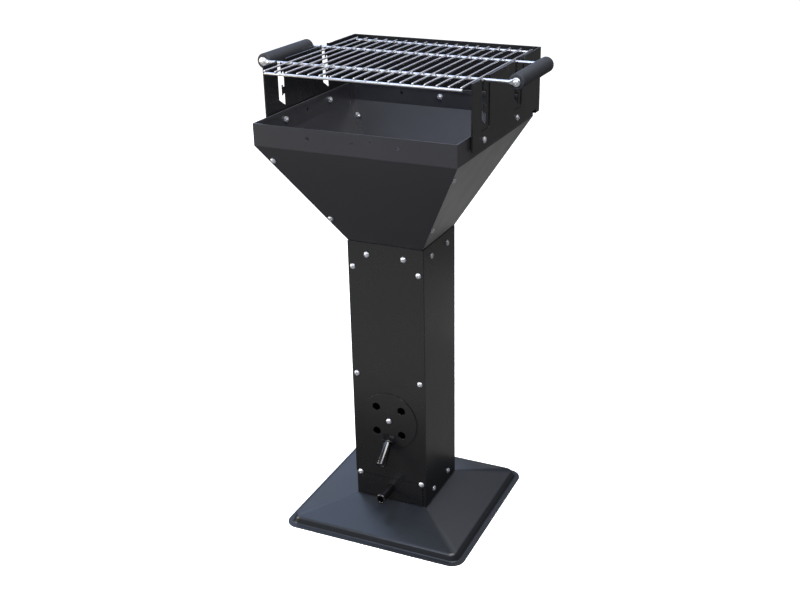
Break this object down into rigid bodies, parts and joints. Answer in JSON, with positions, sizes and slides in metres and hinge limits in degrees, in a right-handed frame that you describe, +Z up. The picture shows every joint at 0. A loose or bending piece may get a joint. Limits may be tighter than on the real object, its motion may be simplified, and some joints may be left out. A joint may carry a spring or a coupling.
{
  "type": "park bbq grill pedestal",
  "caption": "Square steel pedestal barbecue: pressed base, column with air vent and ash drawer, flared fire box, and a lift-off cooking grate with two long handles.",
  "frame": {"origin": "on the floor under the middle of the whole outline", "axes": "+Z up, -Y towards the person who cooks, at the side of the vent and the ash drawer, +X to their right"},
  "size_m": [0.529, 0.4194, 0.9627],
  "materials": {
    "black_powder_coat": "black powder coat, satin",
    "slate_powder_coat": "slate powder coat, satin",
    "charcoal_powder_coat": "heat-proof charcoal coat, matt",
    "chrome_wire": "plated wire",
    "zinc_screws": "zinc plated",
    "black_phenolic": "gloss phenolic",
    "handle_grip": "matt phenolic",
    "black_enamel": "black enamel"
  },
  "bodies": {
    "pedestal": {"base_plate": "slate_powder_coat", "base_bracket_left": "charcoal_powder_coat", "base_bracket_right": "charcoal_powder_coat", "base_bolts": "zinc_screws", "base_nuts": "zinc_screws", "bracket_screws": "zinc_screws", "bracket_nuts": "zinc_screws", "column_shell": "black_powder_coat", "column_front_panel": "black_powder_coat", "front_panel_screws": "zinc_screws", "front_panel_nuts": "zinc_screws", "funnel_panel_front": "charcoal_powder_coat", "funnel_panel_right": "charcoal_powder_coat", "funnel_panel_back": "charcoal_powder_coat", "funnel_panel_left": "charcoal_powder_coat", "hip_screws": "zinc_screws", "hip_nuts": "zinc_screws", "skirt_screws": "zinc_screws", "skirt_nuts": "zinc_screws", "hanger_plate_left": "black_powder_coat", "hanger_plate_right": "black_powder_coat", "side_panel_left": "black_powder_coat", "side_panel_right": "black_powder_coat", "side_panel_screws": "zinc_screws", "side_panel_spacers": "zinc_screws", "side_panel_nuts": "zinc_screws", "back_shield": "black_powder_coat", "back_shield_screw": "zinc_screws", "back_shield_nut": "zinc_screws", "vent_pivot_screw": "zinc_screws", "vent_pivot_washer": "zinc_screws", "vent_pivot_nut": "zinc_screws"},
    "vent": {"vent_disc": "black_powder_coat", "vent_knob": "black_phenolic", "vent_knob_screw": "zinc_screws"},
    "drawer": {"ash_drawer": "black_powder_coat", "drawer_knob": "black_phenolic", "drawer_knob_screw": "zinc_screws"},
    "cooking_grate": {"grate_bars": "chrome_wire", "grate_cross_wires": "chrome_wire", "grate_rod_front": "chrome_wire", "grate_rod_rear": "chrome_wire", "handle_left": "handle_grip", "handle_right": "handle_grip", "handle_bolts": "zinc_screws"},
    "charcoal_grate": {"charcoal_grate_wires": "black_enamel", "charcoal_grate_bars": "black_enamel"}
  },
  "joints": [
    {"name": "vent_turn", "type": "hinge", "parent": "pedestal", "child": "vent", "pos_m": [-0.0075, -0.09225, 0.2345], "axis": [0, 1, 0], "continuous": true},
    {"name": "drawer_pull", "type": "slide", "parent": "pedestal", "child": "drawer", "axis": [0, -1, 0], "range_m": [0, 0.13]},
    {"name": "grate_lift", "type": "slide", "parent": "pedestal", "child": "cooking_grate", "axis": [0, 0, 1], "range_m": [0, 0.15]},
    {"name": "charcoal_grate_lift", "type": "slide", "parent": "pedestal", "child": "charcoal_grate", "axis": [0, 0, 1], "range_m": [0, 0.2]}
  ]
}
